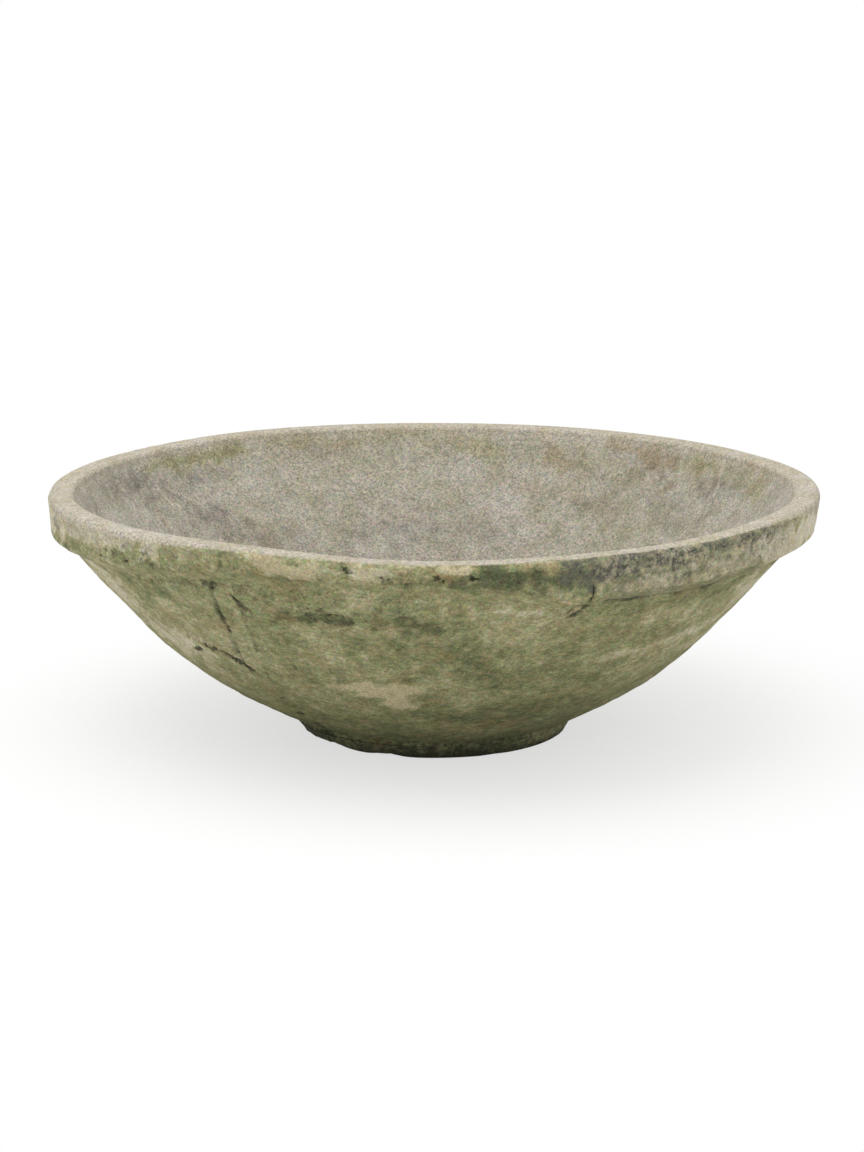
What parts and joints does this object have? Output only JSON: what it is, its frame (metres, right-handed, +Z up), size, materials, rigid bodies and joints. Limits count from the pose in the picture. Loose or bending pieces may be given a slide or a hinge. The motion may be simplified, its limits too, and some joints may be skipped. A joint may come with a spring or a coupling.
{
  "type": "stone bowl",
  "caption": "Wide shallow garden bowl of weathered stone: a flared basin on a low foot ring, with a thick strip pressed round the outside of its lip.",
  "frame": {"origin": "centre of the foot ring's underside, on the surface that the bowl stands on", "axes": "+Z up along the bowl's axis; -Y is the front, with the seam strap to its left and the joint of the lip strip to its right"},
  "size_m": [0.4996, 0.5, 0.164],
  "materials": {
    "mossy_stone": "matte, gritty, with moss and lichen in the pores",
    "stained_stone": "matte, pitted, with dark soot and algae stains",
    "damp_stone": "matte, dark with damp at the lower edge"
  },
  "bodies": {
    "root": {"basin": "mossy_stone", "seam_strap": "mossy_stone", "rim_band": "stained_stone", "foot_ring": "damp_stone"}
  },
  "joints": []
}
